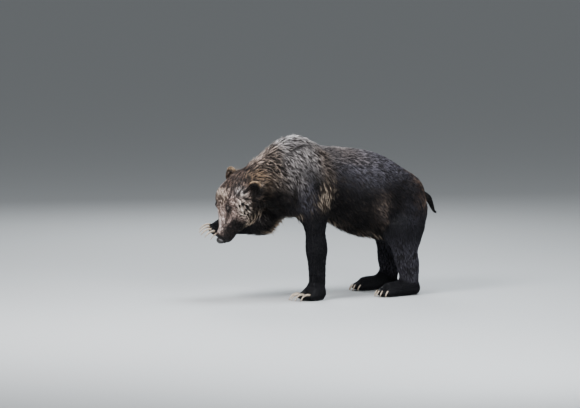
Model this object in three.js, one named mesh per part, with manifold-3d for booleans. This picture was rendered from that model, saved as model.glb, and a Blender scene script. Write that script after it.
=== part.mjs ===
// A grizzly bear, life size, standing on three feet with its head lowered and its right forepaw
// reaching out in front of it, claws spread. Millimetres: +X is the way it faces, +Y its left, +Z up.
//
// The body is described by fields: rounded masses for the big muscles and bones, blended into each
// other. Each part is a closed skin wrapped round a line through that part: rays leave the line in
// flat rings and stop at the outer surface of the coat. Thin cuts then part the pieces.

import * as THREE from "three";
import { mergeVertices } from "three/addons/utils/BufferGeometryUtils.js";
import Module from "manifold-3d";

// ---------------------------------------------------------------- driving dimensions

const HUMP_HEIGHT = 1000; // ground to the top of the coat on the shoulder hump
const GAP = 0.6; // clear space between neighbouring pieces
const BODY_BLEND = 0.085; // how softly one mass of the trunk runs into the next
const LIMB_BLEND = 0.05; // the same within a leg
const FILLET = 0.05; // how far the crease between a leg and the trunk is filled

// Every place and size below is a share of the hump's height.
const place = (x, y, z) => new THREE.Vector3(x, y, z).multiplyScalar(HUMP_HEIGHT);
const size = (share) => share * HUMP_HEIGHT;

const HEAD = {
  origin: place(0.822, 0.012, 0.788), // over the nape, level with the forehead
  yaw: -17, // degrees, about the upright axis
  pitch: 69, // muzzle down
  roll: -24,
};
const headFrame = new THREE.Matrix4().makeRotationFromEuler(
  new THREE.Euler(
    THREE.MathUtils.degToRad(HEAD.roll),
    THREE.MathUtils.degToRad(HEAD.pitch),
    THREE.MathUtils.degToRad(HEAD.yaw),
    "ZYX",
  ),
);
headFrame.setPosition(HEAD.origin);

const FOREFOOT = { length: 0.175, width: 0.15, heel: 0, claw: 0.1, clawRadius: 0.0085 };
const HINDFOOT = { length: 0.275, width: 0.13, heel: -0.03, claw: 0.045, clawRadius: 0.0075 };
const UPRIGHT = [0.005, 0, 0.11]; // the leg comes down on the foot from above
const REACHING = [-0.03, 0, 0.045]; // the forearm runs into the foot from behind

// Wrist or ankle over the ground, then the joints above it, for each leg.
const LEGS = {
  front_left: {
    foot: FOREFOOT,
    joints: [
      [0.385, 0.115, 0.7],
      [0.365, 0.15, 0.585],
      [0.31, 0.155, 0.46],
      [0.302, 0.145, 0.3],
      [0.292, 0.13, 0.085],
    ],
    stand: { at: [0.285, 0.13, 0], yaw: 4, pitch: 0, roll: 0, shin: UPRIGHT },
  },
  front_right: {
    foot: FOREFOOT,
    joints: [
      [0.43, -0.115, 0.7],
      [0.475, -0.15, 0.6],
      [0.515, -0.182, 0.475],
      [0.62, -0.186, 0.448],
      [0.74, -0.19, 0.444],
    ],
    stand: { at: [0.733, -0.19, 0.402], yaw: 6, pitch: 2, roll: -24, shin: REACHING },
  },
  hind_left: {
    foot: HINDFOOT,
    joints: [
      [-0.325, 0.1, 0.58],
      [-0.305, 0.14, 0.49],
      [-0.297, 0.168, 0.385],
      [-0.32, 0.172, 0.24],
      [-0.34, 0.17, 0.09],
    ],
    stand: { at: [-0.335, 0.17, 0], yaw: 7, pitch: 0, roll: 0, shin: UPRIGHT },
  },
  hind_right: {
    foot: HINDFOOT,
    joints: [
      [-0.35, -0.1, 0.58],
      [-0.36, -0.14, 0.49],
      [-0.373, -0.168, 0.385],
      [-0.38, -0.172, 0.24],
      [-0.392, -0.17, 0.09],
    ],
    stand: { at: [-0.387, -0.17, 0], yaw: -7, pitch: 0, roll: 0, shin: UPRIGHT },
  },
};

// ---------------------------------------------------------------- fields

const lerp = THREE.MathUtils.lerp;
const clamp = THREE.MathUtils.clamp;

// An ellipsoid. A field is below zero inside its shape and about the distance to it outside.
function mass(centre, radii) {
  const c = place(...centre);
  const r = place(...radii);
  const least = Math.min(r.x, r.y, r.z);
  return (p) => {
    const x = p.x - c.x;
    const y = p.y - c.y;
    const z = p.z - c.z;
    const k0 = Math.hypot(x / r.x, y / r.y, z / r.z);
    const k1 = Math.hypot(x / r.x ** 2, y / r.y ** 2, z / r.z ** 2);
    return k1 < 1e-9 ? -least : (k0 * (k0 - 1)) / k1;
  };
}

// A rounded bar from one place to another. breadth is how wide it is across the body beside its depth.
function limb(from, to, startRadius, endRadius, breadth = 1) {
  const a = place(...from);
  const axis = place(...to).sub(a);
  const [r0, r1] = [size(startRadius), size(endRadius)];
  return (p) => {
    const [x, y, z] = [p.x - a.x, p.y - a.y, p.z - a.z];
    const t = clamp((x * axis.x + y * axis.y + z * axis.z) / axis.lengthSq(), 0, 1);
    const across = (y - axis.y * t) / breadth;
    return Math.hypot(x - axis.x * t, across, z - axis.z * t) - lerp(r0, r1, t);
  };
}

function smoothMin(a, b, k) {
  const h = Math.max(k - Math.abs(a - b), 0) / k;
  return Math.min(a, b) - (h * h * k) / 4;
}

const blend = (softness, ...fields) => {
  const k = size(softness);
  return (p) => fields.reduce((d, field) => smoothMin(d, field(p), k), Infinity);
};

// A field with others hollowed out of it.
const carved = (softness, field, ...cuts) => {
  const k = size(softness);
  return (p) => cuts.reduce((d, cut) => -smoothMin(-d, cut(p), k), field(p));
};

// A field given in a part's own frame, placed in the body.
function within(frame, field) {
  const back = frame.clone().invert();
  const q = new THREE.Vector3();
  return (p) => field(q.copy(p).applyMatrix4(back));
}

// The part's own field, swollen a little where it leaves another part, so that both share a crease.
const filleted = (own, other) => {
  const k = size(FILLET);
  return (p) => {
    const d = own(p);
    const h = Math.max(k - Math.abs(d - Math.abs(other(p))), 0) / k;
    return d - (h * h * k) / 4;
  };
};

const bothSides = (make) => [1, -1].flatMap(make);

function headField() {
  const skull = [
    mass([0.115, 0, -0.121], [0.11, 0.104, 0.091]), // braincase
    mass([0.165, 0, -0.066], [0.09, 0.088, 0.056]), // forehead
    limb([0.18, 0, -0.122], [0.365, 0, -0.117], 0.088, 0.045, 0.98), // muzzle
    mass([0.385, 0, -0.114], [0.036, 0.04, 0.037]), // nose end
    limb([0.17, 0, -0.19], [0.34, 0, -0.15], 0.064, 0.032, 1.1), // lower jaw
  ];
  const cheeks = bothSides((side) => [
    mass([0.135, side * 0.076, -0.142], [0.115, 0.07, 0.09]), // cheek muscle under long hair
    limb([0.14, side * 0.062, -0.1], [0.265, side * 0.024, -0.115], 0.078, 0.046), // cheekbone
    mass([0.2, side * 0.052, -0.05], [0.036, 0.026, 0.024]), // brow
  ]);
  const orbits = bothSides((side) => mass([0.238, side * 0.09, -0.04], [0.044, 0.032, 0.028]));
  const temples = bothSides((side) => mass([0.025, side * 0.08, -0.02], [0.05, 0.046, 0.04]));
  return carved(0.022, blend(0.05, ...skull, ...cheeks), ...orbits, ...temples);
}

function trunkField() {
  const core = [
    mass([-0.105, 0, 0.624], [0.28, 0.257, 0.26]), // belly
    mass([0.15, 0, 0.705], [0.34, 0.212, 0.218]), // ribs
    mass([-0.29, 0, 0.56], [0.24, 0.212, 0.213]), // croup
    mass([0.375, 0, 0.81], [0.158, 0.125, 0.192]), // hump
    mass([0.42, 0, 0.685], [0.15, 0.165, 0.15]), // brisket
    limb([0.46, 0, 0.78], [0.69, 0, 0.685], 0.172, 0.126, 0.84), // neck
  ];
  const sides = bothSides((side) => [
    limb([0.34, side * 0.08, 0.86], [0.375, side * 0.14, 0.68], 0.085, 0.12, 0.8), // shoulder blade
    mass([0.365, side * 0.15, 0.62], [0.1, 0.075, 0.13]), // upper arm
    mass([-0.34, side * 0.115, 0.522], [0.155, 0.122, 0.188]), // haunch
  ]);
  return blend(BODY_BLEND, ...core, ...sides, within(headFrame, headField()));
}

// Upper leg, lower leg and the bulk of muscle behind the joint between them.
const legField = {
  front_left: () => [
    limb([0.38, 0.12, 0.68], [0.33, 0.155, 0.52], 0.095, 0.076, 0.85),
    mass([0.3, 0.145, 0.56], [0.075, 0.065, 0.09]),
    limb([0.327, 0.155, 0.47], [0.307, 0.145, 0.31], 0.067, 0.06, 0.94),
    limb([0.307, 0.145, 0.31], [0.292, 0.13, 0.09], 0.061, 0.053, 0.98),
  ],
  front_right: () => [
    limb([0.41, -0.12, 0.68], [0.495, -0.17, 0.5], 0.1, 0.08, 0.85),
    mass([0.45, -0.155, 0.55], [0.08, 0.065, 0.095]),
    limb([0.515, -0.18, 0.458], [0.755, -0.19, 0.443], 0.078, 0.052, 0.94),
  ],
  hind_left: () => [
    limb([-0.32, 0.115, 0.56], [-0.25, 0.16, 0.43], 0.13, 0.105, 0.82),
    limb([-0.375, 0.12, 0.51], [-0.345, 0.168, 0.36], 0.105, 0.08, 0.88),
    limb([-0.265, 0.172, 0.41], [-0.325, 0.172, 0.18], 0.1, 0.062, 0.88),
    limb([-0.325, 0.172, 0.2], [-0.345, 0.17, 0.07], 0.063, 0.056, 0.98),
  ],
  hind_right: () => [
    limb([-0.35, -0.115, 0.56], [-0.335, -0.16, 0.43], 0.13, 0.1, 0.82),
    limb([-0.4, -0.12, 0.51], [-0.4, -0.168, 0.36], 0.105, 0.075, 0.88),
    limb([-0.372, -0.172, 0.41], [-0.395, -0.172, 0.18], 0.082, 0.058, 0.88),
    limb([-0.395, -0.172, 0.2], [-0.41, -0.17, 0.07], 0.06, 0.056, 0.98),
  ],
};

// ---------------------------------------------------------------- feet

// A foot in its own frame: heel to toes along +X, sole on z = 0, ankle over the origin.
const TOES = [-2, -1, 0, 1, 2];
const toeReach = (foot, toe) => foot.length - 0.055 - 0.007 * toe * toe;
const toeSpread = (foot, toe) => (toe * foot.width) / 5.3;

function footField(foot, shin) {
  const ball = foot.length - 0.125;
  const sole = limb([foot.heel, 0, 0.045], [ball, 0, 0.038], 0.048, 0.05, foot.width / 0.108);
  const ankle = limb(shin, [0.03, 0, 0.05], 0.05, 0.045, 0.95);
  const toes = TOES.map((toe) => {
    const y = toeSpread(foot, toe);
    return limb([ball, y * 0.85, 0.034], [toeReach(foot, toe), y, 0.026], 0.026, 0.021);
  });
  const flesh = blend(0.014, blend(0.03, sole, ankle), ...toes);
  return (p) => Math.max(flesh(p), -p.z);
}

function footFrame({ at, yaw, pitch, roll }) {
  const turn = [roll, pitch, yaw].map(THREE.MathUtils.degToRad);
  return new THREE.Matrix4()
    .makeRotationFromEuler(new THREE.Euler(...turn, "ZYX"))
    .setPosition(place(...at));
}

// ---------------------------------------------------------------- skins

const wasm = await Module();
wasm.setup();

// Distance along a ray from inside a shape to where its field reaches a level.
function surfaceAt(field, level, start, direction, reach) {
  const p = new THREE.Vector3();
  const value = (r) => field(p.copy(direction).multiplyScalar(r).add(start)) - level;
  let near = 0;
  let far = 0;
  while (far < reach) {
    const step = Math.max(-value(far) * 0.55, size(0.0015));
    near = far;
    far = Math.min(far + step, reach);
    if (value(far) > 0) break;
  }
  for (let i = 0; i < 24; i++) {
    const middle = (near + far) / 2;
    if (value(middle) > 0) far = middle;
    else near = middle;
  }
  return (near + far) / 2;
}

// A closed skin round a curve. rings lists {u, shift}: a share of the curve's length, and how far
// along the curve's direction the ring is moved. ends says whether each end is round or flat.
function wrap(field, { curve, rings, rays, reference, ends, reach = 0.42, level = 0 }) {
  const limit = size(reach);
  const points = [];
  const faces = [];
  const centres = rings.map(({ u, shift = 0 }) => {
    const tangent = curve.getTangentAt(u);
    const centre = curve.getPointAt(u).addScaledVector(tangent, shift);
    const up = reference(u).addScaledVector(tangent, -reference(u).dot(tangent)).normalize();
    const side = tangent.clone().cross(up);
    for (let i = 0; i < rays; i++) {
      const angle = (2 * Math.PI * i) / rays;
      const direction = up.clone().multiplyScalar(Math.cos(angle));
      direction.addScaledVector(side, Math.sin(angle));
      const r = surfaceAt(field, level, centre, direction, limit);
      points.push(direction.multiplyScalar(r).add(centre));
    }
    return { centre, tangent };
  });
  for (let ring = 0; ring + 1 < rings.length; ring++) {
    for (let i = 0; i < rays; i++) {
      const j = (i + 1) % rays;
      const [a, b] = [ring * rays + i, ring * rays + j];
      faces.push([a, b, a + rays], [b, b + rays, a + rays]);
    }
  }
  for (const end of [0, 1]) {
    const ring = end ? rings.length - 1 : 0;
    const { centre, tangent } = centres[ring];
    const out = tangent.clone().multiplyScalar(end ? 1 : -1);
    const r = ends[end] === "round" ? surfaceAt(field, level, centre, out, limit) : 0;
    const pole = points.push(out.multiplyScalar(r).add(centre)) - 1;
    for (let i = 0; i < rays; i++) {
      const [a, b] = [ring * rays + i, ring * rays + ((i + 1) % rays)];
      faces.push(end ? [a, b, pole] : [b, a, pole]);
    }
  }
  const position = points.flatMap((p) => [p.x, p.y, Math.abs(p.z) < 0.01 ? 0 : p.z]);
  return solid(
    new THREE.BufferGeometry()
      .setAttribute("position", new THREE.Float32BufferAttribute(position, 3))
      .setIndex(faces.flat()),
  );
}

// A closed mesh as a manifold-3d solid.
function solid(geometry) {
  const bare = geometry.clone();
  for (const name of Object.keys(bare.attributes)) {
    if (name !== "position") bare.deleteAttribute(name);
  }
  const merged = mergeVertices(bare, 1e-3);
  return new wasm.Manifold(
    new wasm.Mesh({
      numProp: 3,
      vertProperties: merged.attributes.position.array,
      triVerts: new Uint32Array(merged.index.array),
    }),
  );
}

function meshOf(shape, name, material) {
  const pieces = shape.decompose().sort((a, b) => b.volume() - a.volume());
  const { numProp, vertProperties, triVerts } = pieces[0].getMesh();
  const position = new Float32Array((vertProperties.length / numProp) * 3);
  for (let i = 0; i * 3 < position.length; i++) {
    position.set(vertProperties.subarray(i * numProp, i * numProp + 3), i * 3);
  }
  const geometry = new THREE.BufferGeometry()
    .setAttribute("position", new THREE.BufferAttribute(position, 3))
    .setIndex(new THREE.BufferAttribute(triVerts, 1));
  geometry.computeVertexNormals();
  const mesh = new THREE.Mesh(geometry, material);
  mesh.name = name;
  return mesh;
}

const through = (points) => new THREE.CatmullRomCurve3(points, false, "centripetal");

// Ring places from one share of a curve to another, closed up towards the ends that ease names.
function spread(from, to, count, ease = (t) => t) {
  return Array.from({ length: count }, (_, i) => ({ u: lerp(from, to, ease(i / (count - 1))) }));
}

// A tapering round bar along a curve, closed at both ends: a claw or the tail.
function taper(curve, radii, sides, steps) {
  const rings = spread(0.001, 0.97, steps);
  const radiusAt = (u) => size(lerp(radii[0], radii[1], u ** 1.4));
  const points = [];
  const faces = [];
  rings.forEach(({ u }) => {
    const tangent = curve.getTangentAt(u);
    const side = new THREE.Vector3(tangent.y, -tangent.x, 0).normalize();
    const up = side.clone().cross(tangent);
    for (let i = 0; i < sides; i++) {
      const angle = (2 * Math.PI * (i + 0.5)) / sides;
      const p = curve.getPointAt(u).addScaledVector(side, Math.sin(angle) * radiusAt(u) * 0.72);
      points.push(p.addScaledVector(up, Math.cos(angle) * radiusAt(u)));
    }
  });
  for (let ring = 0; ring + 1 < steps; ring++) {
    for (let i = 0; i < sides; i++) {
      const [a, b] = [ring * sides + i, ring * sides + ((i + 1) % sides)];
      faces.push([a, b, a + sides], [b, b + sides, a + sides]);
    }
  }
  for (const end of [0, 1]) {
    const pole = points.push(curve.getPointAt(end)) - 1;
    const first = end ? (steps - 1) * sides : 0;
    for (let i = 0; i < sides; i++) {
      const [a, b] = [first + i, first + ((i + 1) % sides)];
      faces.push(end ? [a, b, pole] : [b, a, pole]);
    }
  }
  const made = new THREE.BufferGeometry()
    .setAttribute(
      "position",
      new THREE.Float32BufferAttribute(points.flatMap((p) => [p.x, p.y, p.z]), 3),
    )
    .setIndex(faces.flat());
  const shape = solid(made);
  if (shape.volume() > 0) return shape;
  made.setIndex(faces.map(([a, b, c]) => [a, c, b]).flat());
  return solid(made);
}

// ---------------------------------------------------------------- head, neck and trunk

const onHead = (x, y, z) => place(x, y, z).applyMatrix4(headFrame);
const axis = through([
  onHead(0.395, 0, -0.122),
  onHead(0.3, 0, -0.13),
  onHead(0.2, 0, -0.14),
  onHead(0.115, 0, -0.155),
  place(0.655, -0.01, 0.665),
  place(0.57, 0, 0.7),
  place(0.47, 0, 0.72),
  place(0.3, 0, 0.7),
  place(0.05, 0, 0.65),
  place(-0.2, 0, 0.615),
  place(-0.42, 0, 0.575),
]);

// The share of the axis nearest a place.
function shareNear(point) {
  const shares = Array.from({ length: 401 }, (_, i) => i / 400);
  const far = (u) => axis.getPointAt(u).distanceTo(point);
  return shares.reduce((best, u) => (far(u) < far(best) ? u : best));
}

const NAPE = shareNear(place(0.665, 0, 0.66)); // head meets neck
const WITHERS = shareNear(place(0.5, 0, 0.72)); // neck meets trunk

const dorsal = new THREE.Vector3(0, 0, 1).transformDirection(headFrame);
const backwards = new THREE.Vector3(0, 0, 1);
const dorsalAt = (u) =>
  dorsal.clone().lerp(backwards, THREE.MathUtils.smoothstep(u, NAPE * 0.6, NAPE * 1.35));

const legFields = Object.fromEntries(
  Object.keys(legField).map((name) => [name, blend(LIMB_BLEND, ...legField[name]())]),
);
const body = trunkField();

// Neighbours stop half a gap short of a cut; the swollen copies used for cutting overrun it instead.
const PARTS = {
  head: { from: 0, to: NAPE, count: 19, rays: 24, ends: ["round", "flat"] },
  neck: { from: NAPE, to: WITHERS, count: 6, rays: 24, ends: ["flat", "flat"] },
  trunk: { from: WITHERS, to: 1, count: 19, rays: 24, ends: ["flat", "round"] },
};

function axial(name, level = 0) {
  const { from, to, count, rays, ends } = PARTS[name];
  const rings = spread(from, to, count);
  const inwards = level > 0 ? -GAP / 2 : GAP / 2;
  if (ends[0] === "flat") rings[0].shift = inwards;
  if (ends[1] === "flat") rings[count - 1].shift = -inwards;
  return wrap(body, { curve: axis, reference: dorsalAt, rings, rays, ends, level });
}

// ---------------------------------------------------------------- materials

const coat = new THREE.MeshStandardMaterial({ color: 0x2e2723, roughness: 0.85 });
const faceCoat = new THREE.MeshStandardMaterial({ color: 0x6b5648, roughness: 0.85 });
const noseSkin = new THREE.MeshStandardMaterial({ color: 0x151314, roughness: 0.4 });
const eyeball = new THREE.MeshStandardMaterial({ color: 0x1a0f08, roughness: 0.08 });
const horn = new THREE.MeshStandardMaterial({ color: 0xb3a594, roughness: 0.45 });

// ---------------------------------------------------------------- assembly

const bear = new THREE.Group();
const add = (shape, name, material) => bear.add(meshOf(shape, name, material));

const ball = (centre, radii, frame, width = 18, height = 12) =>
  solid(
    new THREE.SphereGeometry(1, width, height)
      .applyMatrix4(new THREE.Matrix4().makeScale(...place(...radii)))
      .applyMatrix4(new THREE.Matrix4().setPosition(place(...centre)))
      .applyMatrix4(frame),
  );

const block = (low, high, frame) => {
  const [a, b] = [place(...low), place(...high)];
  const extent = b.clone().sub(a);
  return solid(
    new THREE.BoxGeometry(...extent)
      .translate(...a.add(b).multiplyScalar(0.5))
      .applyMatrix4(frame),
  );
};

const grown = GAP / HUMP_HEIGHT;
const world = new THREE.Matrix4();

// Round plugs of the trunk that go with each leg: {middle, radius, inner face}.
const PLUGS = {
  front_left: { at: [0.365, 0.66], radius: 0.17, inner: 0.105, side: 1 },
  front_right: { at: [0.39, 0.66], radius: 0.17, inner: 0.105, side: -1 },
  hind_left: { at: [-0.32, 0.575], radius: 0.185, inner: 0.105, side: 1 },
  hind_right: { at: [-0.345, 0.575], radius: 0.185, inner: 0.105, side: -1 },
};

function plug(name, extra = 0) {
  const { at, radius, inner, side } = PLUGS[name];
  const depth = size(0.4);
  const disc = new THREE.CylinderGeometry(size(radius + extra), size(radius + extra), depth, 24);
  disc.translate(0, side * (depth / 2 + size(inner - extra)), 0);
  disc.translate(size(at[0]), 0, size(at[1]));
  return solid(disc);
}

function buildFoot(name) {
  const { foot, stand } = LEGS[name];
  const frame = footFrame(stand);
  const heel = foot.heel - 0.02;
  const tip = foot.length - 0.045;
  const curve = through([
    place(heel, 0, 0.035).applyMatrix4(frame),
    place((heel + tip) / 2, 0, 0.035).applyMatrix4(frame),
    place(tip, 0, 0.024).applyMatrix4(frame),
  ]);
  const up = new THREE.Vector3(0, 0, 1).transformDirection(frame);
  const field = within(frame, footField(foot, stand.shin));
  const make = (level) =>
    wrap(field, {
      curve,
      rings: spread(0, 1, 10),
      rays: 16,
      reference: () => up.clone(),
      ends: ["round", "round"],
      reach: 0.16,
      level,
    });
  const claws = TOES.map((toe) => {
    const base = [toeReach(foot, toe) - 0.004, toeSpread(foot, toe), 0.032];
    const bend = through(
      [0, 0.35, 0.7, 1].map((t) =>
        place(
          base[0] + foot.claw * Math.sin(t * 1.2) * 0.92,
          base[1] * (1 + 0.12 * t),
          base[2] + foot.claw * 0.16 * Math.sin(t * Math.PI) - (base[2] - 0.003) * t ** 2.2,
        ).applyMatrix4(frame),
      ),
    );
    return taper(bend, [foot.clawRadius, 0.0016], 5, 4);
  });
  return { frame, shape: make(0), shell: make(GAP), claws };
}

const trunkSolid = axial("trunk");
const trunkShell = axial("trunk", GAP);
const foreShell = axial("neck", GAP).add(axial("head", GAP));
const bodyShell = trunkShell.add(foreShell);
let trunk = trunkSolid;

for (const name of Object.keys(LEGS)) {
  const { joints } = LEGS[name];
  const foot = buildFoot(name);
  const curve = through(joints.map((j) => place(...j)));
  const front = new THREE.Vector3(name === "front_right" ? 0.2 : 1, 0, name === "front_right" ? 1 : 0);
  const shank = wrap(filleted(legFields[name], body), {
    curve,
    rings: spread(0, 1, 13),
    rays: 14,
    reference: () => front.clone(),
    ends: ["round", "round"],
    reach: 0.24,
  });
  const joined = shank.add(trunkSolid.intersect(plug(name)));
  const leg = joined
    .subtract(trunkShell.subtract(plug(name)))
    .subtract(foreShell)
    .subtract(foot.shell);
  add(leg, `leg_${name}`, coat);
  add(foot.shape, `paw_${name}`, coat);
  foot.claws.forEach((claw, i) => add(claw.subtract(foot.shell), `claw_${name}_${i + 1}`, horn));
  trunk = trunk.subtract(plug(name, grown));
}

add(trunk, "trunk", coat);
add(axial("neck"), "neck", coat);

// ---------------------------------------------------------------- head

const EYE = {
  behind: [0.2, 0, -0.1], // the eyes lie on rays from here
  towards: [0.1, 0.59, 0.76],
  radius: 0.0115,
  depth: 0.0105, // middle of the ball under the outside of the coat
};
const NOSE = { at: [0.408, 0, -0.102], radii: [0.02, 0.029, 0.022] };
const MOUTH = { corner: 0.245, height: -0.152 };
// tip runs from an ear's root to its tip, and open is the way its hollow faces.
const EARS = {
  left: { at: [0.058, 0.139, -0.104], tip: [-0.86, 0.4, 0.24], open: [0.5, 0.5, 0.62] },
  right: { at: [0.028, -0.088, -0.088], tip: [-0.84, -0.2, 0.5], open: [0.6, 0.05, 0.8] },
};
const EAR = { radii: [0.032, 0.052, 0.058], hollow: [0.026, 0.039, 0.045] };

let head = axial("head");
for (const side of [1, -1]) {
  const at = onHead(...EYE.behind);
  const [x, y, z] = EYE.towards;
  const outwards = new THREE.Vector3(x, side * y, z).transformDirection(headFrame);
  const coatAt = surfaceAt(body, 0, at, outwards, size(0.2));
  at.addScaledVector(outwards, coatAt - size(EYE.depth));
  const frame = headFrame.clone().setPosition(at);
  const eye = (radius) => ball([0, 0, 0], Array(3).fill(radius), frame, 8, 6);
  head = head.subtract(eye(EYE.radius + grown));
  add(eye(EYE.radius), `eye_${side > 0 ? "left" : "right"}`, eyeball);
}
head = head.subtract(ball(NOSE.at, NOSE.radii.map((r) => r + grown), headFrame, 10, 7));
const nostrils = [1, -1].map((side) =>
  ball([NOSE.at[0] + 0.016, side * 0.014, NOSE.at[2] + 0.002], [0.01, 0.006, 0.007], headFrame, 6, 4),
);
const nosePad = ball(NOSE.at, NOSE.radii, headFrame, 10, 7);
add(nosePad.subtract(nostrils[0]).subtract(nostrils[1]), "nose", noseSkin);

const jawBlock = (extra) =>
  block(
    [MOUTH.corner - extra, -0.2, -0.4],
    [0.6, 0.2, MOUTH.height + extra],
    headFrame,
  );
add(head.intersect(jawBlock(0)), "lower_jaw", coat);
add(head.subtract(jawBlock(grown * 2)), "head", faceCoat);

// Round cupped ears: the left one laid back, the right one up and turned forward.
for (const [name, ear] of Object.entries(EARS)) {
  const tip = new THREE.Vector3(...ear.tip).normalize();
  const open = new THREE.Vector3(...ear.open);
  open.addScaledVector(tip, -open.dot(tip)).normalize();
  const frame = headFrame
    .clone()
    .multiply(new THREE.Matrix4().setPosition(place(...ear.at)))
    .multiply(new THREE.Matrix4().makeBasis(open, tip.clone().cross(open), tip));
  const outer = ball([0, 0, 0], EAR.radii, frame, 12, 9);
  const hollow = ball([0.028, 0, 0.008], EAR.hollow, frame, 10, 7);
  add(outer.subtract(hollow).subtract(bodyShell), `ear_${name}`, faceCoat);
}

// A short tail that hangs clear of the haunches.
const tailCurve = through([place(-0.48, 0, 0.6), place(-0.56, 0.005, 0.59), place(-0.615, 0.01, 0.482)]);
add(taper(tailCurve, [0.034, 0.012], 7, 5).subtract(bodyShell), "tail", coat);

// The origin is on the ground, under the middle of the whole animal.
const box = new THREE.Box3().setFromObject(bear);
const middle = box.getCenter(new THREE.Vector3());
bear.position.set(-middle.x, -middle.y, 0);

export default bear;
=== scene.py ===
"""A life-size grizzly bear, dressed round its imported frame: one skin under a coat of solid locks.

Metres, +X the way the bear faces, +Y its left, +Z up.
"""

import bmesh
import bpy
import numpy as np
from mathutils import Euler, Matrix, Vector
from mathutils.bvhtree import BVHTree
from mathutils.kdtree import KDTree


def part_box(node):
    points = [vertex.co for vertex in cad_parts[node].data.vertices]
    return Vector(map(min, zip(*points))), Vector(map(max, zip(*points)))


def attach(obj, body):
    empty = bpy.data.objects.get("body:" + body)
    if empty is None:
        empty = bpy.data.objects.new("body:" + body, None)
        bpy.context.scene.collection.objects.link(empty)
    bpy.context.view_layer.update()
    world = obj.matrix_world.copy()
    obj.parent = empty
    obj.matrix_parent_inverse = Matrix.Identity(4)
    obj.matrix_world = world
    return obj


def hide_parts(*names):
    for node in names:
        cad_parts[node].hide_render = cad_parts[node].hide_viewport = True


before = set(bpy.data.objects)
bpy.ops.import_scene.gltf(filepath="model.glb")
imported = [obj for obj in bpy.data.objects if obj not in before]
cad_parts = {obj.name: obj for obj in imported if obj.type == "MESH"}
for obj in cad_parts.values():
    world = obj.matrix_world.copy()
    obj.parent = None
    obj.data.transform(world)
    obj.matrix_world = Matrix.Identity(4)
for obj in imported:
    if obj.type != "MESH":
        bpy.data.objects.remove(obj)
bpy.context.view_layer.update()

# ---------------------------------------------------------------- places

SHIFT = np.array([-0.155155, 0.0, 0.0])  # from the drawing's origin to the frame's
LEGS = ["front_left", "front_right", "hind_left", "hind_right"]
REGIONS = (
    ["head", "lower_jaw", "ear_left", "ear_right", "neck", "trunk", "tail"]
    + [f"leg_{n}" for n in LEGS]
    + [f"paw_{n}" for n in LEGS]
)
REGION = {name: i for i, name in enumerate(REGIONS)}


def turned(roll, pitch, yaw):
    return np.array(Euler(np.radians([roll, pitch, yaw]), "XYZ").to_matrix())


HEAD_ORIGIN = np.array([0.822, 0.012, 0.788]) + SHIFT
HEAD_TURN = turned(-24, 69, -17)  # columns: towards the nose, left, up through the forehead
FEET = {
    "front_left": ((0.285, 0.13, 0.0), (0, 0, 4), 0.175, 0.15),
    "front_right": ((0.733, -0.19, 0.402), (-24, 2, 6), 0.175, 0.15),
    "hind_left": ((-0.335, 0.17, 0.0), (0, 0, 7), 0.275, 0.13),
    "hind_right": ((-0.387, -0.17, 0.0), (0, 0, -7), 0.275, 0.13),
}  # place, turn, length, width

EARS = {
    "ear_left": ((0.058, 0.139, -0.104), (-0.86, 0.4, 0.24), (0.5, 0.5, 0.62)),
    "ear_right": ((0.028, -0.088, -0.088), (-0.84, -0.2, 0.5), (0.6, 0.05, 0.8)),
}  # place on the head, root to tip, the way the hollow faces
EAR_RADII = np.array([0.032, 0.052, 0.058])
EAR_HOLLOW = np.array([0.026, 0.039, 0.045])
EAR_HOLLOW_AT = np.array([0.028, 0, 0.008])  # out of the opening, across it, towards the tip


def unit(v):
    v = np.asarray(v, float)
    return v / np.maximum(np.linalg.norm(v, axis=-1, keepdims=True), 1e-9)


def ramp(x, low, high):
    """0 below low, 1 above high, smooth between."""
    t = np.clip((x - low) / (high - low), 0, 1)
    return t * t * (3 - 2 * t)


def bell(x, middle, width):
    return np.exp(-(((x - middle) / width) ** 2))


def to_head(p):
    return (p - HEAD_ORIGIN) @ HEAD_TURN


def from_head(q):
    return np.asarray(q, float) @ HEAD_TURN.T + HEAD_ORIGIN


def head_way(v):
    return unit(np.asarray(v, float)) @ HEAD_TURN.T


class Wobble:
    """A smooth field of a few sine waves, about -1 to 1, that repeats nowhere on the body."""

    def __init__(self, size, seed, waves=7):
        r = np.random.default_rng(seed)
        self.way = unit(r.normal(size=(waves, 3))) * (2 * np.pi / size) * r.uniform(0.6, 1.6, (waves, 1))
        self.phase = r.uniform(0, 2 * np.pi, waves)
        self.gain = 1.5 / np.sqrt(waves)

    def __call__(self, p):
        return np.clip(np.sin(p @ self.way.T + self.phase).sum(1) * self.gain * 0.62, -1, 1)


# ---------------------------------------------------------------- meshes


def arrays(me):
    co = np.empty(len(me.vertices) * 3, np.float32)
    me.vertices.foreach_get("co", co)
    me.calc_loop_triangles()
    tri = np.empty(len(me.loop_triangles) * 3, np.int32)
    me.loop_triangles.foreach_get("vertices", tri)
    return co.reshape(-1, 3).astype(float), tri.reshape(-1, 3)


def mesh_from(name, co, faces):
    me = bpy.data.meshes.new(name)
    me.from_pydata([tuple(c) for c in co], [], [tuple(f) for f in faces])
    return me


def show(name, me):
    ob = bpy.data.objects.new(name, me)
    bpy.context.scene.collection.objects.link(ob)
    return ob


def move_to(me, co):
    me.vertices.foreach_set("co", co.astype(np.float32).ravel())


def shade_smooth(me):
    me.polygons.foreach_set("use_smooth", np.ones(len(me.polygons), bool))


def paint(me, name, rgb):
    """Stores a colour for each point, for a material to read."""
    att = me.color_attributes.new(name, "FLOAT_COLOR", "POINT")
    att.data.foreach_set("color", np.column_stack([rgb, np.ones(len(rgb))]).astype(np.float32).ravel())


def with_modifiers(ob):
    """A new mesh, as the object's modifiers leave it."""
    dg = bpy.context.evaluated_depsgraph_get()
    return bpy.data.meshes.new_from_object(ob.evaluated_get(dg))


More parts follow.
